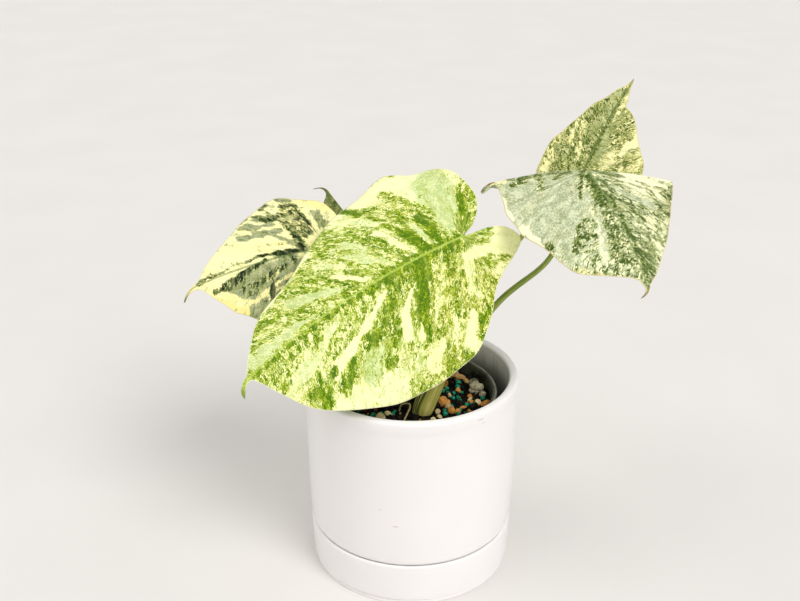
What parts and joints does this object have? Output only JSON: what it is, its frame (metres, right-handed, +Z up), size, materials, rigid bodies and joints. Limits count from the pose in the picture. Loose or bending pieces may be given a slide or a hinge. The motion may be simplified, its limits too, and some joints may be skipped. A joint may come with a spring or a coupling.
{
  "type": "potted variegated monstera plant",
  "caption": "Young climbing plant with broad heart-shaped variegated leaves on long petioles, in a cylindrical glazed pot with a matching saucer and a dark inner nursery pot.",
  "frame": {"origin": "middle of the saucer's underside, on the surface the plant stands on", "axes": "+Z up; +X to the right and +Y away from a viewer who faces the plant's front; the holder is round about Z"},
  "size_m": [0.2677, 0.1456, 0.2652],
  "materials": {
    "glaze": "gloss",
    "liner_plastic": "gloss",
    "substrate": "matte",
    "stem": "satin",
    "root": "matte",
    "petiole": "satin",
    "leaf_front": "satin",
    "leaf_left": "satin",
    "leaf_back": "satin",
    "leaf_lower_right": "satin",
    "leaf_upper_right": "satin"
  },
  "bodies": {
    "root": {"saucer": "glaze", "pot": "glaze", "nursery_pot": "liner_plastic", "substrate": "substrate", "stem": "stem", "aerial_root": "root", "petiole_front": "petiole", "blade_front": "leaf_front", "petiole_left": "petiole", "blade_left": "leaf_left", "petiole_back": "petiole", "blade_back": "leaf_back", "petiole_lower_right": "petiole", "blade_lower_right": "leaf_lower_right", "petiole_upper_right": "petiole", "blade_upper_right": "leaf_upper_right"}
  },
  "joints": []
}
